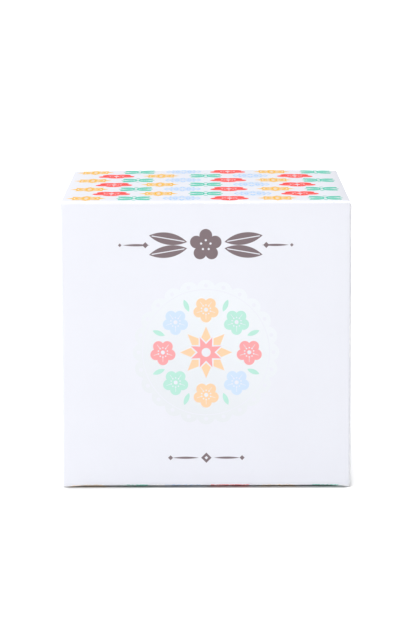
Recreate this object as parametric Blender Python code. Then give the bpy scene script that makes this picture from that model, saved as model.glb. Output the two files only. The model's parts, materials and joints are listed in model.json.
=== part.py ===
"""Folding carton: a cube-shaped paperboard box with a front-hinged lid that tucks in behind the back panel.

Metres, +Z up. The origin is the centre of the underside and the front faces -Y.
The box is one creased blank: every panel here is one flat stretch of it between two creases.
"""

import math

import bmesh
import bpy
from mathutils import Matrix, Vector

# Driving sizes
WIDTH = 0.080
DEPTH = 0.080
HEIGHT = 0.080
BOARD = 0.0005
GAP = 0.0003
CORNER_RADIUS = 0.0008

# Tuck flap: its reach, how far it leans in from straight down, and how much further it can be pushed in
TUCK_REACH = 0.014
TUCK_LEAN = math.radians(5.5)
TUCK_FLEX = math.radians(30)
TUCK_SIDE_INSET = 0.0016
TUCK_CORNER = 0.006
LID_REACH = DEPTH - 0.0009
LID_SIDE_INSET = 0.0002

# Side flaps under the lid and over the bottom
DUST_REACH = 0.037
DUST_DROP = 0.0008
DUST_FRONT_INSET = 0.0012
DUST_SHOULDER = 0.001
DUST_TAPER = 1.5
DUST_REAR_INSET = 0.003
DUST_CORNER = 0.004
BOTTOM_DUST_LIFT = 0.0016
BOTTOM_DUST_TAPER = 0.003

# Bottom closure: the outer panel folds from the front, the inner one from the back
INNER_LIFT = 0.0008
INNER_SIDE_INSET = 0.0007
INNER_REACH = DEPTH - 0.003
OUTER_SIDE_INSET = 0.0002

# Glued overlap of the blank's two ends, inside the left panel at the back corner
GLUE_REACH = 0.015
BACK_TOP_DROP = 0.0003

ARC_STEPS = 6
CUTTER_MARGIN = 0.001

RIGHT_ANGLE = math.pi / 2
TUCK_TURN = RIGHT_ANGLE + TUCK_LEAN
TUCK_MITRE = TUCK_TURN + TUCK_FLEX

# The creases that every panel is placed from: the outer line of each fold
LID_CREASE = Vector((0, -DEPTH / 2, HEIGHT))
TUCK_CREASE = LID_CREASE + Vector((0, LID_REACH, 0))
DUST_CREASE_Z = HEIGHT - DUST_DROP


def clear_scene():
    """Remove whatever the open file holds."""
    for old in list(bpy.data.objects):
        bpy.data.objects.remove(old, do_unlink=True)


def new_collection(name):
    """Add a collection to the scene."""
    collection = bpy.data.collections.new(name)
    bpy.context.scene.collection.children.link(collection)
    return collection


def board_material(name, colour, roughness):
    """A Principled material for one panel of the board."""
    material = bpy.data.materials.new(name)
    material.use_nodes = True
    shader = material.node_tree.nodes["Principled BSDF"]
    shader.inputs["Base Color"].default_value = (*colour, 1)
    shader.inputs["Roughness"].default_value = roughness
    shader.inputs["Metallic"].default_value = 0
    material.diffuse_color = (*colour, 1)
    return material


def rounded_corner(before, corner, after, radius):
    """Points of the arc that rounds one corner of an outline."""
    if radius == 0:
        return [corner]
    to_before = (before - corner).normalized()
    to_after = (after - corner).normalized()
    half = to_before.angle(to_after) / 2
    run = radius / math.tan(half)
    middle = corner + (to_before + to_after).normalized() * (radius / math.sin(half))
    start = corner + to_before * run - middle
    end = corner + to_after * run - middle
    sweep = start.angle_signed(end)
    points = []
    for step in range(ARC_STEPS + 1):
        turn = -sweep * step / ARC_STEPS
        points.append(middle + Matrix.Rotation(turn, 2) @ start)
    return points


def outline_points(corners):
    """A closed outline from rows of x, y and corner radius."""
    count = len(corners)
    points = []
    for index, (x, y, radius) in enumerate(corners):
        before = Vector(corners[index - 1][:2])
        after = Vector(corners[(index + 1) % count][:2])
        points += rounded_corner(before, Vector((x, y)), after, radius)
    return points


def extruded(name, outlines, thickness):
    """A mesh of the flat area inside the outlines, centred on its own XY plane."""
    curve = bpy.data.curves.new(name, "CURVE")
    curve.dimensions = "2D"
    curve.fill_mode = "BOTH"
    curve.extrude = thickness / 2
    for points in outlines:
        spline = curve.splines.new("POLY")
        spline.points.add(len(points) - 1)
        for spot, point in zip(spline.points, points):
            spot.co = (point.x, point.y, 0, 1)
        spline.use_cyclic_u = True
    drawn = bpy.data.objects.new(name, curve)
    bpy.context.scene.collection.objects.link(drawn)
    graph = bpy.context.evaluated_depsgraph_get()
    mesh = bpy.data.meshes.new_from_object(drawn.evaluated_get(graph))
    bpy.data.objects.remove(drawn, do_unlink=True)
    bpy.data.curves.remove(curve)
    mesh.name = name
    shape = bmesh.new()
    shape.from_mesh(mesh)
    bmesh.ops.remove_doubles(shape, verts=shape.verts, dist=1e-7)
    bmesh.ops.recalc_face_normals(shape, faces=shape.faces)
    shape.to_mesh(mesh)
    shape.free()
    return mesh


def added(name, mesh, collection, material=None):
    """An object for a mesh, in its collection."""
    thing = bpy.data.objects.new(name, mesh)
    collection.objects.link(thing)
    if material:
        mesh.materials.append(material)
    return thing


def axes_at(spot, reach, outward):
    """A frame on a crease: Y runs out along the panel and Z points out of the board's printed face."""
    reach = Vector(reach)
    outward = Vector(outward)
    along = reach.cross(outward)
    frame = Matrix((along, reach, outward)).transposed().to_4x4()
    frame.translation = spot
    return frame


def mitre_gap(turn):
    """How far a panel's printed face starts from its crease, so that two panels stay GAP apart."""
    return GAP / 2 / math.cos(turn / 2)


def panel(name, corners, turn, material, far_turn=None):
    """One panel with its printed face at Z 0 and its crease edge mitred for the fold's turn."""
    mesh = extruded(name, [outline_points(corners)], BOARD)
    near = min(row[1] for row in corners)
    far = max(row[1] for row in corners)
    for vertex in mesh.vertices:
        vertex.co.z -= BOARD / 2
        if vertex.co.z > -BOARD / 2:
            continue
        if abs(vertex.co.y - near) < GAP / 10:
            vertex.co.y += BOARD * math.tan(turn / 2)
        if far_turn and abs(vertex.co.y - far) < GAP / 10:
            vertex.co.y -= BOARD * math.tan(far_turn / 2)
    return added(name, mesh, parts, material)


def crease_empty(name, spot, parent=None):
    """An empty on a joint's axis, which the pieces that turn there hang from."""
    empty = bpy.data.objects.new(name, None)
    empty.empty_display_size = 0.01
    parts.objects.link(empty)
    empty.parent = parent
    empty.location = spot - parent.location if parent else spot
    return empty


def sleeve_outline(offset, glue=0.0):
    """The wall's outline, offset inwards, with the glued overlap as a step inside the left panel."""
    x = WIDTH / 2 - offset
    y = DEPTH / 2 - offset
    radius = max(CORNER_RADIUS - offset, 0.0)
    corners = [(-x, -y, radius), (x, -y, radius), (x, y, radius)]
    if glue:
        step_y = y - GLUE_REACH
        corners += [(-x + glue, y, radius), (-x + glue, step_y, 0), (-x, step_y, 0)]
    else:
        corners += [(-x, y, radius)]
    return outline_points(corners)


def cutter(name, corners, length, frame):
    """A prism that trims the sleeve, drawn in its frame's XY plane and centred on it."""
    mesh = extruded(name, [outline_points([(x, y, 0) for x, y in corners])], length)
    block = added(name, mesh, cutters)
    block.matrix_world = frame
    block.hide_render = True
    block.display_type = "WIRE"
    return block


def mitre_cutter(name, crease, inward, upward, length):
    """A wedge that trims a wall's end along a crease, leaving half the gap to the panel folded there."""
    slack = mitre_gap(RIGHT_ANGLE)
    deep = CORNER_RADIUS + BOARD
    wide = CUTTER_MARGIN
    corners = [
        (-wide, wide - slack),
        (-wide, 2 * wide),
        (deep, 2 * wide),
        (deep, -deep - slack),
    ]
    inward = Vector(inward)
    upward = Vector(upward)
    frame = Matrix((inward, upward, inward.cross(upward))).transposed().to_4x4()
    frame.translation = crease
    return cutter(name, corners, length, frame)


def build_sleeve():
    """The four walls: one strip of board glued to itself, with its ends mitred at the creases."""
    outlines = [sleeve_outline(0), sleeve_outline(BOARD, glue=BOARD)]
    mesh = extruded("sleeve", outlines, HEIGHT)
    sleeve = added("sleeve", mesh, parts, board_material("sleeve_board", (0.90, 0.91, 0.95), 0.38))
    sleeve.location.z = HEIGHT / 2
    whole = WIDTH + 2 * CUTTER_MARGIN
    inner = DEPTH - 2 * CORNER_RADIUS
    half = WIDTH / 2
    trims = [
        mitre_cutter("trim_top_front", LID_CREASE, (0, 1, 0), (0, 0, 1), whole),
        mitre_cutter("trim_bottom_front", (0, -DEPTH / 2, 0), (0, 1, 0), (0, 0, -1), whole),
        mitre_cutter("trim_bottom_back", (0, DEPTH / 2, INNER_LIFT), (0, -1, 0), (0, 0, -1), whole),
    ]
    for side, name in ((1, "right"), (-1, "left")):
        top = (side * half, 0, DUST_CREASE_Z)
        low = (side * half, 0, BOTTOM_DUST_LIFT)
        trims.append(mitre_cutter("trim_top_" + name, top, (-side, 0, 0), (0, 0, 1), inner))
        trims.append(mitre_cutter("trim_bottom_" + name, low, (-side, 0, 0), (0, 0, -1), inner))
    level = Matrix.Translation((0, DEPTH / 2, HEIGHT - BACK_TOP_DROP + CUTTER_MARGIN))
    box = [
        (-whole / 2, -CORNER_RADIUS),
        (whole / 2, -CORNER_RADIUS),
        (whole / 2, CUTTER_MARGIN),
        (-whole / 2, CUTTER_MARGIN),
    ]
    trims.append(cutter("trim_top_back", box, 2 * CUTTER_MARGIN, level))
    for trim in trims:
        cut = sleeve.modifiers.new(trim.name, "BOOLEAN")
        cut.object = trim
        cut.operation = "DIFFERENCE"
        cut.solver = "EXACT"


def build_lid():
    """The top panel and its tuck flap, which turn about the front's top crease."""
    lid_crease = crease_empty("lid_crease", LID_CREASE)
    tuck_crease = crease_empty("tuck_crease", TUCK_CREASE, lid_crease)
    side = WIDTH / 2 - LID_SIDE_INSET
    start = mitre_gap(RIGHT_ANGLE)
    end = LID_REACH - mitre_gap(TUCK_MITRE)
    lid = panel(
        "lid",
        [(-side, start, 0), (side, start, 0), (side, end, 0), (-side, end, 0)],
        RIGHT_ANGLE,
        board_material("lid_board", (0.88, 0.89, 0.90), 0.38),
        far_turn=TUCK_MITRE,
    )
    lid.parent = lid_crease
    side = WIDTH / 2 - TUCK_SIDE_INSET
    start = mitre_gap(TUCK_MITRE)
    tuck = panel(
        "tuck_flap",
        [
            (-side, start, 0),
            (side, start, 0),
            (side, TUCK_REACH, TUCK_CORNER),
            (-side, TUCK_REACH, TUCK_CORNER),
        ],
        TUCK_MITRE,
        board_material("tuck_board", (0.84, 0.84, 0.83), 0.6),
    )
    tuck.parent = tuck_crease
    tuck.rotation_euler.x = -TUCK_TURN


def dust_corners(mirror):
    """Outline of a side flap under the lid, tapered at the front so that the lid clears it as both open."""
    start = mitre_gap(RIGHT_ANGLE)
    front = -DEPTH / 2 + DUST_FRONT_INSET
    rear = DEPTH / 2 - DUST_REAR_INSET
    taper_end = front + (DUST_REACH - DUST_SHOULDER) / DUST_TAPER
    corners = [
        (front, start, 0),
        (rear, start, 0),
        (rear, DUST_REACH, DUST_CORNER),
        (taper_end, DUST_REACH, DUST_CORNER),
        (front, DUST_SHOULDER, 0),
    ]
    if not mirror:
        return corners
    return [(-x, y, radius) for x, y, radius in reversed(corners)]


def build_dust_flaps():
    """The two side flaps that lie under the lid."""
    for side, name in ((1, "right"), (-1, "left")):
        crease = crease_empty("dust_crease_" + name, Vector((side * WIDTH / 2, 0, DUST_CREASE_Z)))
        flap = panel(
            "dust_flap_" + name,
            dust_corners(mirror=side < 0),
            RIGHT_ANGLE,
            board_material("dust_board_" + name, (0.84, 0.84, 0.83), 0.6),
        )
        flap.parent = crease
        flap.rotation_euler.z = side * RIGHT_ANGLE


def build_bottom():
    """The glued bottom: outer panel, inner panel and two side flaps, from the outside in."""
    start = mitre_gap(RIGHT_ANGLE)
    side = WIDTH / 2 - OUTER_SIDE_INSET
    end = DEPTH - OUTER_SIDE_INSET
    outer = panel(
        "bottom_panel",
        [(-side, start, 0), (side, start, 0), (side, end, 0), (-side, end, 0)],
        RIGHT_ANGLE,
        board_material("bottom_board", (0.88, 0.89, 0.90), 0.38),
    )
    outer.matrix_world = axes_at((0, -DEPTH / 2, 0), (0, 1, 0), (0, 0, -1))
    side = WIDTH / 2 - INNER_SIDE_INSET
    inner = panel(
        "bottom_inner_panel",
        [(-side, start, 0), (side, start, 0), (side, INNER_REACH, 0), (-side, INNER_REACH, 0)],
        RIGHT_ANGLE,
        board_material("bottom_inner_board", (0.84, 0.84, 0.83), 0.6),
    )
    inner.matrix_world = axes_at((0, DEPTH / 2, INNER_LIFT), (0, -1, 0), (0, 0, -1))
    edge = DEPTH / 2 - DUST_FRONT_INSET
    tip = edge - BOTTOM_DUST_TAPER
    for side, name in ((1, "right"), (-1, "left")):
        flap = panel(
            "bottom_dust_flap_" + name,
            [
                (-edge, start, 0),
                (edge, start, 0),
                (tip, DUST_REACH, DUST_CORNER),
                (-tip, DUST_REACH, DUST_CORNER),
            ],
            RIGHT_ANGLE,
            board_material("bottom_dust_board_" + name, (0.84, 0.84, 0.83), 0.6),
        )
        crease = (side * WIDTH / 2, 0, BOTTOM_DUST_LIFT)
        flap.matrix_world = axes_at(crease, (-side, 0, 0), (0, 0, -1))


clear_scene()
parts = new_collection("folding_carton")
cutters = new_collection("cutters")
build_sleeve()
build_lid()
build_dust_flaps()
build_bottom()
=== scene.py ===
import json
import math

import bmesh
import bpy
from mathutils import Matrix, Vector


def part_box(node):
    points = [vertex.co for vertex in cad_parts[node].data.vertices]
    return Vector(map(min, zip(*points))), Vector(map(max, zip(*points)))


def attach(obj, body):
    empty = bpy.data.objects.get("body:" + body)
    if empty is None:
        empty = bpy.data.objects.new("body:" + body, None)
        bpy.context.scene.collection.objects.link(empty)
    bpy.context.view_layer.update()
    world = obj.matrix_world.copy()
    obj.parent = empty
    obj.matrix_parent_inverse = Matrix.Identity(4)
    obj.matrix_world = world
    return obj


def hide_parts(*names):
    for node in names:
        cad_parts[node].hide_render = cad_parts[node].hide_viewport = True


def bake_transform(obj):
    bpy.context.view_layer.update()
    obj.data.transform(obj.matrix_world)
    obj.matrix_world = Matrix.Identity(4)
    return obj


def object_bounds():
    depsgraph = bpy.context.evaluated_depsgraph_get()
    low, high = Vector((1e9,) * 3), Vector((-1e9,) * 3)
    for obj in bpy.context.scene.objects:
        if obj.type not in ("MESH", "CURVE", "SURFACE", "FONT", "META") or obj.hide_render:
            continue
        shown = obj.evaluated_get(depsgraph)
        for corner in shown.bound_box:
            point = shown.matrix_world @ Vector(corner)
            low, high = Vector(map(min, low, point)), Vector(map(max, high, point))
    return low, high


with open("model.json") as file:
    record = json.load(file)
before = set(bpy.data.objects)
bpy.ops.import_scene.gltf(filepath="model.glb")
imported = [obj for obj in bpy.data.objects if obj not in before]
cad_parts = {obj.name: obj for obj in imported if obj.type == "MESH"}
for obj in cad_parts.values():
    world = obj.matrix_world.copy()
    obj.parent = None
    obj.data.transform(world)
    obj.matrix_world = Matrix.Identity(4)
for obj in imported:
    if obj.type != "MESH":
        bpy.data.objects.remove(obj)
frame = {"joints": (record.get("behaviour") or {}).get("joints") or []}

cad_low, cad_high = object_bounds()

# Sizes, all from the frame
MM = 0.001
HALF_WIDTH = cad_high.x
FRONT = cad_low.y
BACK = cad_high.y
TOP = cad_high.z
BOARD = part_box("lid")[1].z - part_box("lid")[0].z
JOINTS = {joint["name"]: joint for joint in frame["joints"]}
TUCK_CREASE_Y = JOINTS["tuck_fold"]["pos_m"][1]
DUST_CREASE_Z = JOINTS["dust_right_fold"]["pos_m"][2]
INNER_BOTTOM_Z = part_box("bottom_inner_panel")[0].z
DUST_BOTTOM_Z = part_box("bottom_dust_flap_right")[0].z
BACK_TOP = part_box("sleeve")[1].z
TUCK_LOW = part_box("tuck_flap")[0]
TUCK_LEAN = math.radians(5.5)

# The creases: the outer radius of a fold in this board and of the lid's front fold, the facets in each,
# and how much flatter than a round bend its middle is
FOLD = 0.75 * MM
LID_FOLD = 1.05 * MM
FOLD_STEPS = 12
FOLD_FLAT = 0.75
RIGHT_ANGLE = math.pi / 2

# How far the flat panels have sprung out of true at their middles, and the lid's rear edge upwards.
# The lid's edge has sprung by a fifth more on the right, and its bow ends just past its sides
WALL_BOW = 0.25 * MM
SIDE_BOW = WALL_BOW * 1.2
LID_BOW = 0.35 * MM
LID_BOW_REACH = 1.02
LID_SPRING = 0.35 * MM
LID_SKEW = 0.2
BOW_CELLS = 14

# The bottom's front crease springs up off the floor by this much, less towards its corners
CREASE_LIFT = 0.45 * MM
LIFT_DEPTH = 14 * MM
LIFT_HEIGHT = 9 * MM
LIFT_CORNER = 5 * MM
LIFT_CORNER_INSET = 0.5 * MM

# How far each panel is cut back from the carton's side, and how far out from a fold its full width starts
FOLD_INSET = 0.4 * MM
LID_INSET = 0.5 * MM
TUCK_INSET = 1.6 * MM
BOTTOM_INSET = 0.2 * MM
INNER_BOTTOM_INSET = 0.7 * MM
FULL_WIDTH_FROM = 2.2 * MM

# The side flaps under the lid slant back by one in this much from their shoulder. The ones over the bottom
# narrow by this much a side. The free corners are rounded
DUST_SLANT = 1.5
DUST_SHOULDER = 1.0 * MM
BOTTOM_FLAP_NARROWS = 3 * MM
FLAP_ROUND = 4 * MM
TUCK_ROUND = 6 * MM

# The left wall's rear edge stops this far short of the back's outer face, and is known by lying this near it
REAR_GAP = 0.12 * MM
REAR_EDGE = 0.2 * MM

# The glue flap inside the left wall
GLUE_REACH = 14.5 * MM
GLUE_TAPER = 3.5 * MM
GLUE_LINE = 0.04 * MM

# A hair's width, for finding the places where panels meet, and how far off a point still counts as on an edge
TINY = 0.02 * MM
WELD = 1e-6

# Edges of the cut board are softened by this much, and shading breaks at edges sharper than this
CUT_ROUND = 0.05 * MM
SHARP_ANGLE = math.radians(50)

# Print colours, in linear light
CORAL = (0.93, 0.060, 0.050)
AMBER = (0.88, 0.47, 0.018)
MINT = (0.045, 0.56, 0.40)
SKY = (0.36, 0.58, 0.88)
TAUPE = (0.205, 0.158, 0.170)
PALE_GREY = (0.775, 0.80, 0.835)
SOFT_CORAL = (0.86, 0.36, 0.37)
SOFT_PEACH = (0.89, 0.60, 0.38)
SOFT_MINT = (0.45, 0.74, 0.64)
SOFT_SKY = (0.58, 0.70, 0.87)
COATED = (0.757, 0.767, 0.824)
UNCOATED = (0.80, 0.79, 0.76)
CUT_EDGE = (0.74, 0.735, 0.72)
# The pale white over the folds, paler than the board's own white: partly cracked coating, partly a painted
# highlight
CRACK_AND_HIGHLIGHT_WHITE = (0.93, 0.93, 0.94)

# Roughness of the coated board, plain and printed all over, and how far a fold's cracked coating, painted
# highlight and gloss reach, in mm
PLAIN_ROUGHNESS = 0.45
PRINTED_ROUGHNESS = 0.6
SIDE_FOLD_REACH = 0.5
FRONT_FOLD_REACH = 1.1

# The studio: the floor in the open and in the contact shadow painted into its colour, its glow, the share of
# the glow that lights the box, and the surroundings' brightness with its falls to the right and to the rear
FLOOR_WHITE = (0.97, 0.97, 0.97)
FLOOR_PAINTED_SHADOW = (0.5, 0.5, 0.5)
FLOOR_GLOW = 0.3
GLOW_ON_BOX = 0.55
SURROUND = 0.5
DIM_RIGHT = 0.45
DIM_REAR = 0.12

# The camera: focal length and sensor in mm, shifts as parts of the picture's longer side, and its place
LENS = 154.3
SENSOR = 36
SHIFT = (0.0022, -0.1080)
PITCH = math.radians(7.3)
ROLL = math.radians(-0.149)
CAMERA_SPOT = (0.23 * MM, -767.66 * MM, 161.13 * MM)


class Net:
    """A node tree with short ways to add and join its nodes."""

    def __init__(self, tree):
        self.tree = tree

    def node(self, kind, **settings):
        made = self.tree.nodes.new(kind)
        for name, value in settings.items():
            setattr(made, name, value)
        return made

    def feed(self, socket, value):
        if isinstance(value, bpy.types.NodeSocket):
            self.tree.links.new(value, socket)
        elif value is not None:
            socket.default_value = value

    def sum(self, operation, *values):
        made = self.node("ShaderNodeMath", operation=operation)
        for socket, value in zip(made.inputs, values):
            self.feed(socket, value)
        return made.outputs[0]

    def add(self, a, b):
        return self.sum("ADD", a, b)

    def less(self, a, b):
        return self.sum("SUBTRACT", a, b)

    def times(self, a, b):
        return self.sum("MULTIPLY", a, b)

    def length(self, a, b):
        return self.sum("SQRT", self.add(self.times(a, a), self.times(b, b)))

    def inside(self, distance, soft=0.05):
        """1 where a signed distance is below zero, with an edge as soft as printed ink."""
        return self.ramp(distance, soft, -soft)

    def ramp(self, value, low, high, to_low=0.0, to_high=1.0):
        made = self.node("ShaderNodeMapRange", interpolation_type="SMOOTHSTEP")
        self.feed(made.inputs["Value"], value)
        names = ("From Min", "From Max", "To Min", "To Max")
        for name, number in zip(names, (low, high, to_low, to_high)):
            made.inputs[name].default_value = number
        return made.outputs["Result"]

    def mix(self, factor, a, b):
        return self.blend("MIX", factor, a, b)

    def tint(self, colour, by):
        """A colour multiplied by another."""
        return self.blend("MULTIPLY", 1.0, colour, by)

    def blend(self, way, factor, a, b):
        made = self.node("ShaderNodeMix", data_type="RGBA", blend_type=way)
        for number, value in zip((0, 6, 7), (factor, a, b)):
            plain = isinstance(value, tuple) and len(value) == 3
            self.feed(made.inputs[number], (*value, 1) if plain else value)
        return made.outputs[2]

    def grey(self, value):
        """One value as a colour."""
        made = self.node("ShaderNodeCombineXYZ")
        for socket in made.inputs:
            self.feed(socket, value)
        return made.outputs[0]

    def noise(self, vector, scale, detail=3.0, roughness=0.5):
        made = self.node("ShaderNodeTexNoise")
        self.feed(made.inputs["Vector"], vector)
        self.feed(made.inputs["Scale"], scale)
        made.inputs["Detail"].default_value = detail
        made.inputs["Roughness"].default_value = roughness
        return made.outputs[0]

    def group(self, tree, **values):
        made = self.node("ShaderNodeGroup", node_tree=tree)
        for name, value in values.items():
            self.feed(made.inputs[name.replace("_", " ")], value)
        return made


def new_group(name, inputs, outputs):
    """A shader node group with named sockets, as its net, its input node and its output node."""
    tree = bpy.data.node_groups.new(name, "ShaderNodeTree")
    for label, kind, value in inputs:
        socket = tree.interface.new_socket(label, in_out="INPUT", socket_type="NodeSocket" + kind)
        if value is not None:
            socket.default_value = value
    for label, kind in outputs:
        tree.interface.new_socket(label, in_out="OUTPUT", socket_type="NodeSocket" + kind)
    net = Net(tree)
    return net, net.node("NodeGroupInput").outputs, net.node("NodeGroupOutput").inputs


# All the drawings below are in mm


def wedge(net, angle, count, phase=0.0):
    """An angle folded into one of count equal sectors, from minus to plus half a sector."""
    step = 2 * math.pi / count
    turned = net.add(angle, math.pi * 2 + phase + step / 2)
    return net.less(net.sum("MODULO", turned, step), step / 2)


def polar(net, x, y):
    """Radius and angle of a point."""
    return net.length(x, y), net.sum("ARCTAN2", y, x)


def petals(net, radius, angle, count, reach, round_size, phase=0.0):
    """Signed distance to count round petals set in a ring."""
    turn = wedge(net, angle, count, phase)
    along = net.less(net.times(radius, net.sum("COSINE", turn)), reach)
    across = net.times(radius, net.sum("SINE", turn))
    return net.less(net.length(along, across), round_size)


def star(net, radius, angle, points, tip, notch, phase=0.0):
    """Signed distance to a straight-sided star with a number of points."""
    turn = net.sum("ABSOLUTE", wedge(net, angle, points, phase))
    half = math.pi / points
    tip_point = Vector((tip, 0))
    notch_point = Vector((notch * math.cos(half), notch * math.sin(half)))
    side = (notch_point - tip_point).normalized()
    out = Vector((side.y, -side.x))
    if out.dot(tip_point) < 0:
        out = -out
    x = net.times(radius, net.sum("COSINE", turn))
    y = net.times(radius, net.sum("SINE", turn))
    return net.less(net.add(net.times(x, out.x), net.times(y, out.y)), out.dot(tip_point))


def leaf(net, x, y, heading, start, long, wide):
    """Signed distance to a pointed leaf that starts out along its heading, and to its midrib."""
    c, s = math.cos(heading), math.sin(heading)
    along = net.less(net.add(net.times(x, c), net.times(y, s)), start + long / 2)
    across = net.sum("ABSOLUTE", net.less(net.times(y, c), net.times(x, s)))
    bend = ((long / 2) ** 2 - (wide / 2) ** 2) / wide
    radius = bend + wide / 2
    return net.less(net.length(along, net.add(across, bend)), radius), across


def ring(net, radius, middle, thick):
    """Signed distance to a ring line."""
    return net.less(net.sum("ABSOLUTE", net.less(radius, middle)), thick / 2)


def painted(net, layers, ground):
    """Layers of mask and colour laid over a ground colour, and the mask of all of them."""
    colour = ground
    mask = 0.0
    for shape, ink, inked in layers:
        colour = net.mix(shape, colour, ink)
        mask = net.sum("MAXIMUM", mask, shape) if inked else net.times(mask, net.less(1.0, shape))
    return colour, mask


def leaf_lines(net, radius, angle, count, start, end, thick):
    """Signed distance to thin rays between two radii, one on each petal."""
    turn = wedge(net, angle, count, RIGHT_ANGLE)
    across = net.less(net.sum("ABSOLUTE", net.times(radius, net.sum("SINE", turn))), thick / 2)
    span = net.less(net.sum("ABSOLUTE", net.less(radius, (start + end) / 2)), (end - start) / 2)
    return net.sum("MAXIMUM", across, span)


def plum_blossom(net, x, y, ink, paper, scale=1.0):
    """Five round petals with a pale eye, a ring of stamen dots and a line on each petal."""
    radius, angle = polar(net, x, y)
    shape = net.inside(petals(net, radius, angle, 5, 2.75 * scale, 2.05 * scale, phase=RIGHT_ANGLE))
    core = net.inside(net.less(radius, 2.2 * scale))
    veins = net.inside(leaf_lines(net, radius, angle, 5, 1.9 * scale, 3.6 * scale, 0.16 * scale))
    dots = net.inside(petals(net, radius, angle, 10, 1.75 * scale, 0.27 * scale, phase=RIGHT_ANGLE))
    eye = net.inside(net.less(radius, 0.75 * scale))
    return [
        (shape, ink, True),
        (core, ink, True),
        (veins, paper, False),
        (dots, paper, False),
        (eye, paper, False),
    ]


def bloom_cells_group():
    """A staggered repeat of four small motifs: plum blossom, sun star, crossed leaves and a ring of dots."""
    net, given, made = new_group(
        "scattered blossoms",
        [("Across", "Float", 0.0), ("Along", "Float", 0.0), ("Paper", "Color", (*COATED, 1))],
        [("Color", "Color"), ("Ink", "Float")],
    )
    pitch_x, pitch_y = 13.2, 11.2
    last_whole = 36.0
    row_place = net.sum("DIVIDE", given["Along"], pitch_y)
    row = net.sum("FLOOR", row_place)
    shift = net.times(net.sum("PINGPONG", row, 1.0), 0.5)
    column_place = net.add(net.sum("DIVIDE", given["Across"], pitch_x), shift)
    column = net.sum("FLOOR", column_place)
    x = net.times(net.less(net.less(column_place, column), 0.5), pitch_x)
    y = net.times(net.less(net.less(row_place, row), 0.5), pitch_y)
    kind = net.sum("FLOORED_MODULO", net.add(column, net.times(row, 2.0)), 4.0)
    paper = given["Paper"]
    plum = painted(net, plum_blossom(net, x, y, (*CORAL, 1), paper, scale=1.14), paper)

    radius, angle = polar(net, x, y)
    star_rows = [
        (net.inside(star(net, radius, angle, 8, 5.55, 3.9)), (*AMBER, 1), True),
        (net.inside(ring(net, radius, 3.3, 0.3)), paper, False),
        (net.inside(petals(net, radius, angle, 8, 2.0, 0.42)), paper, False),
        (net.inside(net.less(radius, 0.7)), paper, False),
    ]
    sun = painted(net, star_rows, paper)

    leaf_rows = []
    vein_half, vein_inset = 0.09, 0.4
    for quarter in range(4):
        heading = math.pi * (0.25 + quarter / 2)
        shape, across = leaf(net, x, y, heading, start=0.7, long=5.3, wide=3.5)
        leaf_rows.append((net.inside(shape), (*MINT, 1), True))
        vein = net.times(net.inside(net.less(across, vein_half)), net.inside(net.add(shape, vein_inset)))
        leaf_rows.append((vein, paper, False))
    leaf_rows.append((net.inside(petals(net, radius, angle, 4, 4.3, 0.62)), (*MINT, 1), True))
    leaf_rows.append((net.inside(net.less(radius, 0.75)), (*MINT, 1), True))
    leaves = painted(net, leaf_rows, paper)

    dot_rows = [
        (net.inside(petals(net, radius, angle, 6, 3.5, 1.75)), (*SKY, 1), True),
        (net.inside(petals(net, radius, angle, 6, 3.5, 1.25)), paper, False),
        (net.inside(petals(net, radius, angle, 6, 3.5, 0.55)), (*SKY, 1), True),
        (net.inside(ring(net, radius, 1.55, 0.5)), (*SKY, 1), True),
        (net.inside(petals(net, radius, angle, 6, 5.1, 0.42, phase=math.pi / 6)), (*SKY, 1), True),
    ]
    rings = painted(net, dot_rows, paper)

    colour, ink = plum
    for number, (other_colour, other_ink) in enumerate((sun, leaves, rings), start=1):
        chosen = net.sum("COMPARE", kind, float(number), 0.25)
        colour = net.mix(chosen, colour, other_colour)
        ink = net.add(net.times(ink, net.less(1.0, chosen)), net.times(other_ink, chosen))
    middle = net.sum("ABSOLUTE", net.less(given["Across"], x))
    whole = net.inside(net.less(middle, last_whole))
    net.feed(made["Color"], net.mix(whole, paper, colour))
    net.feed(made["Ink"], net.times(ink, whole))
    return net.tree


def line_and_diamonds(net, side, up, start, long, diamonds):
    """A thin tapered taupe line out to the side, and diamonds at given places and of given half sizes."""
    line, _ = leaf(net, side, up, 0.0, start, long, wide=0.62)
    rows = [(net.inside(line), (*TAUPE, 1), True)]
    for place, size in diamonds:
        away = net.add(net.sum("ABSOLUTE", net.less(side, place)), net.sum("ABSOLUTE", up))
        rows.append((net.inside(net.less(away, size)), (*TAUPE, 1), True))
    return rows


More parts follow.
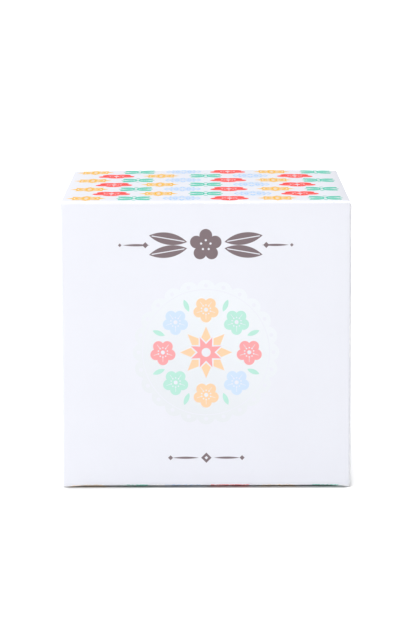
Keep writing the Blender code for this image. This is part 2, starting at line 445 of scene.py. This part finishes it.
def front_print_group():
    """The front's plain ornaments: a taupe blossom between two lines, a pastel roundel, and a small rule."""
    net, given, made = new_group(
        "front ornaments",
        [("Across", "Float", 0.0), ("Up", "Float", 0.0), ("Paper", "Color", (*COATED, 1))],
        [("Color", "Color"), ("Ink", "Float")],
    )
    paper = given["Paper"]
    across = given["Across"]
    rows = []

    roundel_height = 38.0
    blossom_reach, blossom_scale = 11.9, 0.74
    up = net.less(given["Up"], roundel_height)
    radius, angle = polar(net, across, up)
    shade = net.ramp(net.add(net.times(up, 0.8), net.times(across, 0.45)), -19.0, 15.0)
    ground = net.mix(shade, tuple(0.94 * value for value in PALE_GREY), PALE_GREY)
    disc = net.inside(petals(net, radius, angle, 24, 17.6, 2.6), soft=0.08)
    rows.append((net.inside(net.less(radius, 17.8), soft=0.08), ground, True))
    rows.append((disc, ground, True))
    rows.append((net.inside(ring(net, radius, 17.5, 0.25)), paper, False))
    rows.append((net.inside(petals(net, radius, angle, 24, 18.6, 0.55)), paper, False))
    inks = (SOFT_CORAL, SOFT_MINT, SOFT_PEACH, SOFT_SKY)
    for place in range(8):
        turn = place * math.pi / 4
        ink = (*inks[place % 4], 1)
        x = net.less(across, blossom_reach * math.cos(turn))
        y = net.less(up, blossom_reach * math.sin(turn))
        rows += plum_blossom(net, x, y, ink, paper, scale=blossom_scale)
    for place in range(8):
        turn = (place + 0.5) * math.pi / 4
        shape, _ = leaf(net, across, up, turn, start=12.3, long=3.6, wide=1.3)
        rows.append((net.inside(shape), (*SOFT_MINT, 1), True))
    outer = star(net, radius, angle, 8, tip=7.2, notch=4.0)
    line = star(net, radius, angle, 8, tip=5.3, notch=2.9, phase=math.pi / 8)
    inner = star(net, radius, angle, 8, tip=4.5, notch=2.3, phase=math.pi / 8)
    rows.append((net.inside(outer), (*SOFT_PEACH, 1), True))
    rows.append((net.inside(line), paper, False))
    rows.append((net.inside(inner), (*SOFT_CORAL, 1), True))
    rows.append((net.inside(net.less(radius, 1.25)), paper, False))

    band_height = 67.8
    up = net.less(given["Up"], band_height)
    radius, angle = polar(net, across, up)
    rows.append((net.inside(petals(net, radius, angle, 5, 2.7, 1.75, phase=-RIGHT_ANGLE)), (*TAUPE, 1), True))
    rows.append((net.inside(net.less(radius, 1.9)), (*TAUPE, 1), True))
    rows.append((net.inside(petals(net, radius, angle, 5, 1.35, 0.3, phase=-RIGHT_ANGLE)), paper, False))
    side = net.sum("ABSOLUTE", across)
    vein_half, vein_inset = 0.13, 0.35
    for heading in (0.17, -0.17):
        shape, middle = leaf(net, side, up, heading, start=5.2, long=10.6, wide=3.3)
        rows.append((net.inside(shape), (*TAUPE, 1), True))
        vein = net.times(net.inside(net.less(middle, vein_half)), net.inside(net.add(shape, vein_inset)))
        rows.append((vein, paper, False))
    rows += line_and_diamonds(net, side, up, 15.4, 7.4, ((16.6, 0.85), (23.6, 0.5)))

    rule_height = 8.4
    up = net.less(given["Up"], rule_height)
    rows += line_and_diamonds(net, side, up, 2.1, 7.2, ((0.0, 1.45), (9.9, 0.7)))
    heart = net.less(net.add(side, net.sum("ABSOLUTE", up)), 0.5)
    rows.append((net.inside(heart), paper, False))

    colour, ink = painted(net, rows, paper)
    net.feed(made["Color"], colour)
    net.feed(made["Ink"], ink)
    return net.tree


def crease_crack_and_highlight_group():
    """A broken pale line over a fold, by the distance from the fold: partly cracked coating, partly a painted
    highlight paler than the board's own white.
    """
    net, given, made = new_group(
        "cracked and highlighted fold",
        [("Vector", "Vector", None), ("From Fold", "Float", 0.0), ("Reach", "Float", 0.5)],
        [("Crack And Highlight", "Float"), ("Stress", "Float")],
    )
    grain = net.noise(given["Vector"], 2600.0, 4.0, 0.6)
    patches = net.noise(given["Vector"], 160.0, 2.0)
    near = net.less(1.0, net.sum("DIVIDE", net.sum("ABSOLUTE", given["From Fold"]), given["Reach"]))
    near = net.sum("MAXIMUM", near, 0.0)
    broken = net.add(net.add(grain, net.times(patches, 0.7)), net.times(near, 0.45))
    crack_and_highlight = net.times(net.ramp(broken, 1.12, 1.28), net.ramp(near, 0.0, 0.25))
    net.feed(made["Crack And Highlight"], crack_and_highlight)
    net.feed(made["Stress"], near)
    return net.tree


def board_face_group():
    """The fine surface of coated board: fibre show-through in the colour, the roughness and the height."""
    net, given, made = new_group(
        "coated board face",
        [("Vector", "Vector", None), ("Roughness", "Float", 0.4), ("Tooth", "Float", 1.0)],
        [("Tint", "Float"), ("Roughness", "Float"), ("Height", "Float")],
    )
    cloud = net.noise(given["Vector"], 70.0, 3.0)
    fibre = net.noise(given["Vector"], 900.0, 4.0, 0.6)
    fine = net.noise(given["Vector"], 3800.0, 2.0, 0.5)
    clouded = net.ramp(cloud, 0.3, 0.7, 0.992, 1.0)
    net.feed(made["Tint"], net.add(clouded, net.ramp(fibre, 0.2, 0.8, -0.006, 0.0)))
    net.feed(made["Roughness"], net.add(given["Roughness"], net.times(net.less(fibre, 0.5), 0.12)))
    height = net.add(net.times(cloud, 1.0), net.add(net.times(fibre, 0.35), net.times(fine, 0.12)))
    net.feed(made["Height"], net.times(height, given["Tooth"]))
    return net.tree


def fibre_face_group():
    """Bare board: matted short fibres, a few darker flecks and a soft nap."""
    net, given, made = new_group(
        "bare board face",
        [("Vector", "Vector", None), ("Color", "Color", (*UNCOATED, 1)), ("Flecks", "Float", 0.5)],
        [("Color", "Color"), ("Roughness", "Float"), ("Height", "Float")],
    )
    cloud = net.noise(given["Vector"], 120.0, 4.0, 0.6)
    mat = net.noise(given["Vector"], 1900.0, 5.0, 0.7)
    shred = net.node("ShaderNodeTexVoronoi", feature="DISTANCE_TO_EDGE")
    net.feed(shred.inputs["Vector"], given["Vector"])
    shred.inputs["Scale"].default_value = 1500.0
    fleck = net.times(net.ramp(net.noise(given["Vector"], 2400.0, 1.0), 0.70, 0.78), given["Flecks"])
    light = net.mix(net.ramp(mat, 0.3, 0.7), (0.90, 0.90, 0.89), (1.0, 1.0, 1.0))
    tinted = net.tint(given["Color"], light)
    clouded = net.mix(net.ramp(cloud, 0.35, 0.75, 0.0, 0.12), tinted, (0.72, 0.69, 0.64))
    net.feed(made["Color"], net.mix(fleck, clouded, (0.42, 0.36, 0.30)))
    net.feed(made["Roughness"], net.ramp(mat, 0.2, 0.8, 0.78, 0.92))
    height = net.add(net.times(mat, 0.7), net.times(net.ramp(shred.outputs["Distance"], 0.0, 0.2), 0.3))
    net.feed(made["Height"], height)
    return net.tree


GROUPS = {
    "blossoms": bloom_cells_group(),
    "front": front_print_group(),
    "crease": crease_crack_and_highlight_group(),
    "coated": board_face_group(),
    "bare": fibre_face_group(),
}


def new_material(name):
    """An empty Principled material, with its net, shader and Object coordinates in metres and split in mm."""
    material = bpy.data.materials.new(name)
    material.use_nodes = True
    net = Net(material.node_tree)
    shader = material.node_tree.nodes["Principled BSDF"]
    place = net.node("ShaderNodeTexCoord").outputs["Object"]
    scaled = net.node("ShaderNodeVectorMath", operation="SCALE")
    net.feed(scaled.inputs[0], place)
    scaled.inputs["Scale"].default_value = 1 / MM
    split = net.node("ShaderNodeSeparateXYZ")
    net.feed(split.inputs[0], scaled.outputs[0])
    return material, net, shader, place, split.outputs


def add_bump(net, shader, height, strength, distance):
    """Fine relief from a height."""
    bump = net.node("ShaderNodeBump")
    bump.inputs["Strength"].default_value = strength
    bump.inputs["Distance"].default_value = distance
    net.feed(bump.inputs["Height"], height)
    net.feed(shader.inputs["Normal"], bump.outputs[0])


def finish_coated(net, shader, place, colour, ink, folds, base_roughness):
    """Board face, print, and folds with cracked coating and a painted highlight, joined up to the shader."""
    face = net.group(GROUPS["coated"], Vector=place, Roughness=base_roughness)
    crack_and_highlight = 0.0
    stretched = 0.0
    for distance, reach in folds:
        worn = net.group(GROUPS["crease"], Vector=place, From_Fold=distance, Reach=reach)
        crack_and_highlight = net.sum("MAXIMUM", crack_and_highlight, worn.outputs["Crack And Highlight"])
        stretched = net.sum("MAXIMUM", stretched, worn.outputs["Stress"])
    tinted = net.tint(colour, net.grey(face.outputs["Tint"]))
    crack_and_highlight_cover, crack_roughness, crack_height = 0.85, 0.25, -1.2
    ink_roughness, fold_gloss = -0.05, 0.8
    # Near a fold's middle the colour turns to the pale crack white: cracked coating and painted highlight
    # together
    net.feed(shader.inputs["Base Color"], net.mix(net.times(crack_and_highlight, crack_and_highlight_cover), tinted, CRACK_AND_HIGHLIGHT_WHITE))
    inked = net.add(face.outputs["Roughness"], net.times(ink, ink_roughness))
    net.feed(shader.inputs["Roughness"], net.add(inked, net.times(crack_and_highlight, crack_roughness)))
    height = net.add(face.outputs["Height"], net.times(crack_and_highlight, crack_height))
    add_bump(net, shader, height, strength=0.35, distance=0.02 * MM)
    net.feed(shader.inputs["Coat Weight"], net.times(stretched, fold_gloss))
    shader.inputs["Coat Roughness"].default_value = 0.22
    shader.inputs["Specular IOR Level"].default_value = 0.12


def from_corner(net, axis):
    """How far in a point lies from the nearest upright fold's middle, in mm."""
    inset = FOLD * 0.3
    in_x = net.less((HALF_WIDTH - inset) / MM, net.sum("ABSOLUTE", axis["X"]))
    in_y = net.less((BACK - inset) / MM, net.sum("ABSOLUTE", axis["Y"]))
    return net.sum("MAXIMUM", in_x, in_y)


def coated_plain(name):
    """White coated board with no print, for the sides, the back and the tuck flap."""
    material, net, shader, place, axis = new_material(name)
    folds = [(from_corner(net, axis), SIDE_FOLD_REACH)]
    finish_coated(net, shader, place, (*COATED, 1), 0.0, folds, PLAIN_ROUGHNESS)
    return material


def coated_front():
    """White coated board with the front's ornaments."""
    material, net, shader, place, axis = new_material("front print")
    art = net.group(GROUPS["front"], Across=axis["X"], Up=axis["Z"], Paper=(*COATED, 1))
    folds = [(from_corner(net, axis), SIDE_FOLD_REACH)]
    finish_coated(net, shader, place, art.outputs["Color"], art.outputs["Ink"], folds, PLAIN_ROUGHNESS)
    return material


def coated_blossoms(name, level, upward, row_start, print_start):
    """Coated board with the blossom repeat. Its rows and its print start so many mm ahead of the middle."""
    material, net, shader, place, axis = new_material(name)
    drop = net.times(net.less(axis["Z"], level / MM), upward)
    along = net.add(axis["Y"], drop)
    rows = net.add(along, row_start)
    art = net.group(GROUPS["blossoms"], Across=axis["X"], Along=rows, Paper=(*COATED, 1))
    bleed = net.inside(net.less(-print_start, along), soft=0.06)
    colour = net.mix(bleed, (*COATED, 1), art.outputs["Color"])
    ink = net.times(art.outputs["Ink"], bleed)
    folds = [(net.less(along, FRONT / MM), FRONT_FOLD_REACH)]
    finish_coated(net, shader, place, colour, ink, folds, PRINTED_ROUGHNESS)
    return material


def bare_material(name, colour, flecks, strength):
    """Uncoated board, for the inside faces and the cut edges."""
    material, net, shader, place, _ = new_material(name)
    face = net.group(GROUPS["bare"], Vector=place, Color=(*colour, 1), Flecks=flecks)
    net.feed(shader.inputs["Base Color"], face.outputs["Color"])
    net.feed(shader.inputs["Roughness"], face.outputs["Roughness"])
    add_bump(net, shader, face.outputs["Height"], strength, distance=0.03 * MM)
    shader.inputs["Specular IOR Level"].default_value = 0.3
    return material


INSIDE = bare_material("bare inside", UNCOATED, flecks=0.5, strength=0.5)
CUT = bare_material("cut edge", CUT_EDGE, flecks=0.25, strength=0.8)
PLAIN = coated_plain("coated white")
FRONT_PRINT = coated_front()
LID_PRINT = coated_blossoms("lid print", TOP, 1.0, row_start=39.2, print_start=39.2)
BOTTOM_PRINT = coated_blossoms("bottom print", 0.0, -1.0, row_start=44.8, print_start=40.5)


def panel_frame(spot, reach, outward):
    """A frame on a crease: Y runs out along the panel and Z points out of its outer face."""
    reach = Vector(reach)
    outward = Vector(outward)
    turned = Matrix((reach.cross(outward), reach, outward)).transposed().to_4x4()
    turned.translation = spot
    return turned


def cut_grid(shape, cells):
    """Cut a flat sheet into a grid of about that many cells each way, so that it can bow."""
    for axis in (0, 1):
        low = min(vertex.co[axis] for vertex in shape.verts)
        high = max(vertex.co[axis] for vertex in shape.verts)
        for number in range(1, cells):
            spot = Vector((0, 0, 0))
            spot[axis] = low + (high - low) * number / cells
            normal = Vector((0, 0, 0))
            normal[axis] = 1
            geometry = shape.verts[:] + shape.edges[:] + shape.faces[:]
            bmesh.ops.bisect_plane(shape, geom=geometry, dist=1e-7, plane_co=spot, plane_no=normal)


def flat_sheet(corners):
    """A flat sheet from rows of x, y and corner radius, cut into a grid."""
    shape = bmesh.new()
    points = [shape.verts.new((x, y, 0)) for x, y, _ in corners]
    shape.faces.new(points)
    for point, (_, _, radius) in zip(points, corners):
        if radius:
            bmesh.ops.bevel(
                shape, geom=[point], offset=radius, affect="VERTICES", segments=8, profile=0.5, material=-1
            )
    cut_grid(shape, BOW_CELLS)
    if shape.faces[:][0].normal.z < 0:
        bmesh.ops.reverse_faces(shape, faces=shape.faces[:])
    return shape


def folded_sheet(narrow, wide, start, end):
    """A flat sheet from its fold's start out to its end, cut to another half width at the fold."""
    return flat_sheet(
        [
            (-narrow, start, 0),
            (narrow, start, 0),
            (wide, start + FULL_WIDTH_FROM, 0),
            (wide, end, 0),
            (-wide, end, 0),
            (-wide, start + FULL_WIDTH_FROM, 0),
        ]
    )


def fold_facets(turn, radius):
    """The run and drop of each facet of a fold that ends where a round bend would, flatter in its middle."""
    places = [(number + 0.5) / FOLD_STEPS for number in range(FOLD_STEPS)]
    lengths = [1 - FOLD_FLAT * math.cos(2 * math.pi * place) for place in places]
    reach = sum(length * math.cos(turn * (place - 0.5)) for place, length in zip(places, lengths))
    scale = 2 * radius * math.sin(turn / 2) / reach
    return [
        (scale * length * math.cos(turn * place), scale * length * math.sin(turn * place))
        for place, length in zip(places, lengths)
    ]


def edge_at(shape, axis, value):
    """The sheet's boundary edges at a value of X or Y."""
    edges = [edge for edge in shape.edges if edge.is_boundary]
    return [edge for edge in edges if all(abs(vertex.co[axis] - value) < WELD for vertex in edge.verts)]


def fold_edge(shape, axis, value, turn, radius=FOLD):
    """Carry the sheet's straight edge at a value of X or Y down round its fold, facet by facet."""
    edges = edge_at(shape, axis, value)
    outward = Vector((0, -1, 0)) if axis == 1 else Vector((math.copysign(1, value), 0, 0))
    for run, drop in fold_facets(turn, radius):
        grown = bmesh.ops.extrude_edge_only(shape, edges=edges)["geom"]
        tips = {item for item in grown if isinstance(item, bmesh.types.BMVert)}
        grown_edges = [item for item in grown if isinstance(item, bmesh.types.BMEdge)]
        edges = [edge for edge in grown_edges if tips.issuperset(edge.verts)]
        bmesh.ops.translate(shape, vec=outward * run - Vector((0, 0, drop)), verts=list(tips))


def fold_start(turn, radius=FOLD):
    """How far a fold's tangent line lies from its crease."""
    return radius * math.tan(turn / 2)


def bowed(shape, amount, length, width, from_fold):
    """Bow a sheet's flat part out. With from_fold it grows away from the fold, and the edge springs up."""
    for vertex in shape.verts:
        if vertex.co.z < -FOLD * 0.01:
            continue
        across = max(0.0, 1 - (vertex.co.x / width) ** 2)
        place = min(max(vertex.co.y / length, 0.0), 1.0)
        along = math.sin(place * RIGHT_ANGLE) ** 2 if from_fold else math.sin(place * math.pi)
        vertex.co.z += amount * across * along
        if from_fold:
            vertex.co.z += LID_SPRING * place * (1 + LID_SKEW * vertex.co.x / width)


def faded(value, reach):
    """1 at nothing, falling smoothly to 0 at reach."""
    left = 1 - min(max(value / reach, 0.0), 1.0)
    return left * left * (3 - 2 * left)


def spring_up(shape):
    """Lift the board near the bottom's front crease, where the folded layers push it up off the floor."""
    for vertex in shape.verts:
        corner = 1 - faded(HALF_WIDTH - LIFT_CORNER_INSET - abs(vertex.co.x), LIFT_CORNER)
        depth = faded(vertex.co.y - FRONT - FOLD, LIFT_DEPTH)
        vertex.co.z += CREASE_LIFT * corner * depth * faded(vertex.co.z, LIFT_HEIGHT)


def in_fixed_order(shape):
    """Sort a sheet's points, edges and faces by their places, so that each run makes the same mesh."""
    middles = (
        (shape.verts, lambda vertex: vertex.co),
        (shape.edges, lambda edge: (edge.verts[0].co + edge.verts[1].co) / 2),
        (shape.faces, lambda face: face.calc_center_median()),
    )
    for items, middle in middles:
        spots = {item: tuple(round(value, 8) for value in middle(item)) for item in items}
        ranks = {item: rank for rank, item in enumerate(sorted(spots, key=spots.get))}
        items.sort(key=ranks.get)


def as_board(name, shape, place, outer, body=None, joined=None):
    """Give a sheet its thickness, print, bare inside and cut edges, and put it in its place."""
    bmesh.ops.transform(shape, matrix=place, verts=shape.verts)
    spring_up(shape)
    for face in shape.faces:
        face.smooth = True
    in_fixed_order(shape)
    mesh = bpy.data.meshes.new(name)
    shape.normal_update()
    shape.to_mesh(mesh)
    shape.free()
    for material in (outer, INSIDE, CUT):
        mesh.materials.append(material)
    sheet = bpy.data.objects.new(name, mesh)
    bpy.context.scene.collection.objects.link(sheet)
    thick = sheet.modifiers.new("board", "SOLIDIFY")
    thick.thickness = BOARD
    thick.offset = -1
    thick.use_even_offset = True
    thick.material_offset = 1
    thick.material_offset_rim = 2
    graph = bpy.context.evaluated_depsgraph_get()
    solid = bpy.data.meshes.new_from_object(sheet.evaluated_get(graph))
    sheet.modifiers.clear()
    sheet.data = solid
    bpy.data.meshes.remove(mesh)
    solid.name = name
    if joined:
        soften_cuts(solid, joined)
    solid.shade_smooth()
    solid.set_sharp_from_angle(angle=SHARP_ANGLE)
    if body:
        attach(sheet, body)
    return sheet


def soften_cuts(solid, joined):
    """Round the cut edges, except where the board runs on into the next panel."""
    shape = bmesh.new()
    shape.from_mesh(solid)
    rims = []
    for edge in shape.edges:
        kinds = {face.material_index for face in edge.link_faces}
        if 2 in kinds and len(kinds) > 1 and not all(joined(vertex.co) for vertex in edge.verts):
            rims.append(edge)
    bmesh.ops.bevel(
        shape,
        geom=rims,
        offset=CUT_ROUND,
        affect="EDGES",
        segments=2,
        profile=0.5,
        material=-1,
        clamp_overlap=True,
    )
    shape.to_mesh(solid)
    shape.free()


def dressed(sheet, slot, *nodes):
    """Hide the CAD nodes that a piece stands for. The sheet and the slot are not used."""
    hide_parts(*nodes)


def add_glue_flap(shape, edge_x, height):
    """The glue flap: the strip past the back's left fold, with its ends cut at a slant."""
    grown = bmesh.ops.extrude_edge_only(shape, edges=edge_at(shape, 0, edge_x))["geom"]
    tips = [item for item in grown if isinstance(item, bmesh.types.BMVert)]
    bmesh.ops.translate(shape, vec=(0, 0, -GLUE_REACH), verts=tips)
    for tip in tips:
        tip.co.y = GLUE_TAPER + tip.co.y * (1 - 2 * GLUE_TAPER / height)
    bmesh.ops.recalc_face_normals(shape, faces=shape.faces[:])


def build_walls():
    """Front, right, back and left walls: the front and back carry the upright folds."""
    low = FOLD
    front_top = TOP - LID_FOLD
    half = HALF_WIDTH - FOLD
    height = front_top - low
    shape = flat_sheet([(-half, 0, 0), (half, 0, 0), (half, height, 0), (-half, height, 0)])
    bowed(shape, WALL_BOW, height, half, False)
    for side in (-half, half):
        fold_edge(shape, 0, side, RIGHT_ANGLE)
    place = panel_frame((0, FRONT, low), (0, 0, 1), (0, -1, 0))
    front = as_board("front_wall", shape, place, FRONT_PRINT, "carton")

    low = INNER_BOTTOM_Z + FOLD
    height = BACK_TOP - low
    inset = half - BOARD - GLUE_LINE
    shape = flat_sheet([(-half, 0, 0), (inset, 0, 0), (inset, height, 0), (-half, height, 0)])
    bowed(shape, WALL_BOW, height, half, False)
    for side in (-half, inset):
        fold_edge(shape, 0, side, RIGHT_ANGLE)
    add_glue_flap(shape, inset + FOLD, height)
    place = panel_frame((0, BACK, low), (0, 0, 1), (0, 1, 0))
    back = as_board(
        "back_wall",
        shape,
        place,
        PLAIN,
        "carton",
        joined=lambda p: p.z < INNER_BOTTOM_Z + FOLD + TINY or (p.x > 0 and p.y < BACK - FOLD + TINY),
    )

    low = DUST_BOTTOM_Z + FOLD
    height = DUST_CREASE_Z - FOLD - low
    half = (BACK - FRONT) / 2 - FOLD
    walls = [front, back]
    for side, name in ((1, "right"), (-1, "left")):
        rear = half if side > 0 else (BACK - FRONT) / 2 - REAR_GAP
        shape = flat_sheet([(-half, 0, 0), (rear, 0, 0), (rear, height, 0), (-half, height, 0)])
        if side < 0:
            bmesh.ops.scale(shape, vec=(-1, 1, 1), verts=shape.verts)
            bmesh.ops.reverse_faces(shape, faces=shape.faces[:])
        bowed(shape, SIDE_BOW, height, half, False)
        place = panel_frame((side * HALF_WIDTH, 0, low), (0, 0, 1), (side, 0, 0))
        raw = None if side > 0 else lambda p: p.y < BACK - REAR_EDGE
        walls.append(as_board(name + "_wall", shape, place, PLAIN, "carton", joined=raw))
    for wall in walls:
        dressed(wall, "coated_board", "sleeve")


def build_lid():
    """The lid with the fold at its front, and the tuck flap with the fold at its top."""
    start = fold_start(RIGHT_ANGLE, LID_FOLD)
    tuck_turn = RIGHT_ANGLE + TUCK_LEAN
    reach = TUCK_CREASE_Y - FRONT
    end = reach - fold_start(tuck_turn)
    wide = HALF_WIDTH - LID_INSET
    shape = folded_sheet(HALF_WIDTH - FOLD_INSET, wide, start, end)
    bowed(shape, LID_BOW, end, wide * LID_BOW_REACH, True)
    fold_edge(shape, 1, start, RIGHT_ANGLE, LID_FOLD)
    place = panel_frame((0, FRONT, TOP), (0, 1, 0), (0, 0, 1))
    rear = FRONT + end - TINY
    lid = as_board(
        "lid_board", shape, place, LID_PRINT, joined=lambda p: p.z < TOP - LID_FOLD + TINY or p.y > rear
    )
    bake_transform(lid)
    dressed(lid, "printed_board", "lid")

    side = HALF_WIDTH - TUCK_INSET
    start = fold_start(tuck_turn)
    tuck_reach = (TOP - TUCK_LOW.z) / math.cos(TUCK_LEAN)
    shape = flat_sheet(
        [
            (-side, start, 0),
            (side, start, 0),
            (side, tuck_reach, TUCK_ROUND),
            (-side, tuck_reach, TUCK_ROUND),
        ]
    )
    fold_edge(shape, 1, start, tuck_turn)
    reach_way = Vector((0, -math.sin(TUCK_LEAN), -math.cos(TUCK_LEAN)))
    face_way = Vector((0, math.cos(TUCK_LEAN), -math.sin(TUCK_LEAN)))
    place = panel_frame((0, TUCK_CREASE_Y, TOP), reach_way, face_way)
    bmesh.ops.transform(shape, matrix=place, verts=shape.verts)
    for vertex in shape.verts:
        across = vertex.co.x / (wide * LID_BOW_REACH)
        vertex.co.z += LID_BOW * max(0.0, 1 - across ** 2) + LID_SPRING * (1 + LID_SKEW * across)
    root = TUCK_CREASE_Y - start + TINY
    tuck = as_board(
        "tuck_board",
        shape,
        Matrix.Identity(4),
        PLAIN,
        joined=lambda p: p.z > TOP - BOARD - TINY and p.y < root,
    )
    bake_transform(tuck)
    dressed(tuck, "coated_board", "tuck_flap")


def build_dust_flaps():
    """The two side flaps under the lid, with the folds at their roots."""
    start = fold_start(RIGHT_ANGLE)
    low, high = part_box("dust_flap_right")
    reach = HALF_WIDTH - low.x
    for side, name in ((1, "right"), (-1, "left")):
        front, rear = low.y * side, high.y * side
        step = side * (reach - DUST_SHOULDER) / DUST_SLANT
        corners = [
            (front, start, 0),
            (rear, start, 0),
            (rear, reach, FLAP_ROUND),
            (front + step, reach, FLAP_ROUND),
            (front, start + DUST_SHOULDER, 0),
        ]
        if side < 0:
            corners = corners[::-1]
        shape = flat_sheet(corners)
        fold_edge(shape, 1, start, RIGHT_ANGLE)
        crease = (side * HALF_WIDTH, 0, DUST_CREASE_Z)
        place = panel_frame(crease, (-side, 0, 0), (0, 0, 1))
        flap = as_board(
            "dust_board_" + name, shape, place, PLAIN, joined=lambda p: p.z < DUST_CREASE_Z - FOLD + TINY
        )
        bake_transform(flap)
        dressed(flap, "plain_board", "dust_flap_" + name)


def build_bottom():
    """The glued bottom: the printed outer panel, the inner panel and the two side flaps."""
    start = fold_start(RIGHT_ANGLE)
    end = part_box("bottom_panel")[1].y - FRONT
    shape = folded_sheet(HALF_WIDTH - FOLD_INSET, HALF_WIDTH - BOTTOM_INSET, start, end)
    fold_edge(shape, 1, start, RIGHT_ANGLE)
    place = panel_frame((0, FRONT, 0), (0, 1, 0), (0, 0, -1))
    outer = as_board(
        "bottom_board",
        shape,
        place,
        BOTTOM_PRINT,
        "carton",
        joined=lambda p: p.y < FRONT + BOARD + TINY and p.z > FOLD - TINY,
    )
    dressed(outer, "printed_board", "bottom_panel")

    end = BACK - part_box("bottom_inner_panel")[0].y
    wide = HALF_WIDTH - INNER_BOTTOM_INSET
    shape = flat_sheet([(-wide, start, 0), (wide, start, 0), (wide, end, 0), (-wide, end, 0)])
    fold_edge(shape, 1, start, RIGHT_ANGLE)
    place = panel_frame((0, BACK, INNER_BOTTOM_Z), (0, -1, 0), (0, 0, -1))
    inner = as_board(
        "bottom_inner_board",
        shape,
        place,
        PLAIN,
        "carton",
        joined=lambda p: p.y > BACK - BOARD - TINY and p.z > INNER_BOTTOM_Z + FOLD - TINY,
    )
    dressed(inner, "plain_board", "bottom_inner_panel")

    low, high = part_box("bottom_dust_flap_right")
    reach = HALF_WIDTH - low.x
    edge = high.y
    tip = edge - BOTTOM_FLAP_NARROWS
    for side, name in ((1, "right"), (-1, "left")):
        shape = flat_sheet(
            [(-edge, start, 0), (edge, start, 0), (tip, reach, FLAP_ROUND), (-tip, reach, FLAP_ROUND)]
        )
        fold_edge(shape, 1, start, RIGHT_ANGLE)
        place = panel_frame((side * HALF_WIDTH, 0, DUST_BOTTOM_Z), (-side, 0, 0), (0, 0, -1))
        flap = as_board(
            "bottom_dust_board_" + name,
            shape,
            place,
            PLAIN,
            "carton",
            joined=lambda p: abs(p.x) > HALF_WIDTH - BOARD - TINY and p.z > DUST_BOTTOM_Z + FOLD - TINY,
        )
        dressed(flap, "plain_board", "bottom_dust_flap_" + name)


def build_floor():
    """A plain white studio floor, overexposed to the camera but for a contact shadow at the box's front,
    painted into its colour and its glow.
    """
    shape = bmesh.new()
    bmesh.ops.create_grid(shape, x_segments=1, y_segments=1, size=6)
    mesh = bpy.data.meshes.new("floor")
    shape.to_mesh(mesh)
    shape.free()
    floor = bpy.data.objects.new("floor", mesh)
    bpy.context.scene.collection.objects.link(floor)
    material, net, shader, _, axis = new_material("studio floor")
    shader.inputs["Roughness"].default_value = 0.7
    shader.inputs["Specular IOR Level"].default_value = 0.0
    seen = net.node("ShaderNodeLightPath").outputs["Is Camera Ray"]
    half = HALF_WIDTH / MM
    painted_shadow_reach = 2.6
    side = net.sum("ABSOLUTE", axis["X"])
    clear = net.sum("MAXIMUM", side, net.sum("ABSOLUTE", axis["Y"]))
    outside = net.ramp(clear, half - 0.3, half + 1.6)
    ahead = net.add(net.sum("ABSOLUTE", net.add(axis["Y"], painted_shadow_reach / 2)), painted_shadow_reach / 2)
    ahead = net.sum("MAXIMUM", ahead, net.add(side, painted_shadow_reach))
    # Painted shadow: to the camera the floor's colour darkens in a band just ahead of the box's front, and
    # its glow is left off there
    past_painted_shadow = net.ramp(ahead, half + 0.2, half + painted_shadow_reach)
    free_of_painted_shadow = net.sum("MAXIMUM", past_painted_shadow, net.less(1.0, seen))
    net.feed(shader.inputs["Base Color"], net.mix(free_of_painted_shadow, FLOOR_PAINTED_SHADOW, FLOOR_WHITE))
    lit = net.sum("MINIMUM", outside, past_painted_shadow)
    glow = net.times(lit, net.ramp(seen, 0.0, 1.0, GLOW_ON_BOX, 1.0))
    net.feed(shader.inputs["Emission Color"], net.grey(glow))
    shader.inputs["Emission Strength"].default_value = FLOOR_GLOW
    mesh.materials.append(material)


def soft_sun(name, heading, height, spread, strength):
    """A wide soft light from far off, by its heading from the front towards the left and its height."""
    light = bpy.data.lights.new(name, "SUN")
    light.energy = strength
    light.angle = math.radians(spread)
    lamp = bpy.data.objects.new(name, light)
    bpy.context.scene.collection.objects.link(lamp)
    turn = math.radians(heading)
    rise = math.radians(height)
    towards = Vector((-math.sin(turn) * math.cos(rise), -math.cos(turn) * math.cos(rise), math.sin(rise)))
    lamp.rotation_euler = towards.to_track_quat("Z", "Y").to_euler()


def softbox(name, spot, aim, size, power):
    """A square softbox that looks at a point."""
    light = bpy.data.lights.new(name, "AREA")
    light.shape = "SQUARE"
    light.size = size
    light.energy = power
    lamp = bpy.data.objects.new(name, light)
    bpy.context.scene.collection.objects.link(lamp)
    lamp.location = spot
    lamp.rotation_euler = (Vector(spot) - Vector(aim)).to_track_quat("Z", "Y").to_euler()


def build_lights():
    """White surroundings, dimmer right and rear, wide lights above and behind, and a softbox on the left."""
    world = bpy.data.worlds.new("studio")
    bpy.context.scene.world = world
    world.use_nodes = True
    sky = world.node_tree.nodes["Background"]
    sky.inputs["Color"].default_value = (1, 1, 1, 1)
    net = Net(world.node_tree)
    way = net.node("ShaderNodeSeparateXYZ")
    net.feed(way.inputs[0], net.node("ShaderNodeTexCoord").outputs["Generated"])
    dimmer = net.add(net.times(way.outputs["X"], DIM_RIGHT), net.times(way.outputs["Y"], DIM_REAR))
    net.feed(sky.inputs["Strength"], net.less(SURROUND, dimmer))
    soft_sun("overhead", heading=0, height=82, spread=60, strength=1.58)
    soft_sun("rear fill", heading=180, height=50, spread=40, strength=0.42)
    softbox("key", spot=(-0.30, -0.45, 0.42), aim=(0, 0, 0.05), size=0.25, power=0.79)


def build_camera():
    """The photograph's viewpoint: a long lens, a little above the lid, looking slightly down."""
    camera = bpy.data.cameras.new("camera")
    camera.lens = LENS
    camera.sensor_width = SENSOR
    camera.shift_x, camera.shift_y = SHIFT
    camera.clip_start = 0.05
    camera.clip_end = 20
    viewer = bpy.data.objects.new("camera", camera)
    bpy.context.scene.collection.objects.link(viewer)
    aim = Matrix.Rotation(RIGHT_ANGLE - PITCH, 4, "X") @ Matrix.Rotation(ROLL, 4, "Z")
    viewer.matrix_world = Matrix.Translation(CAMERA_SPOT) @ aim
    bpy.context.scene.camera = viewer


build_walls()
build_lid()
build_dust_flaps()
build_bottom()
build_floor()
build_lights()
build_camera()
bpy.context.scene.view_settings.view_transform = "Standard"
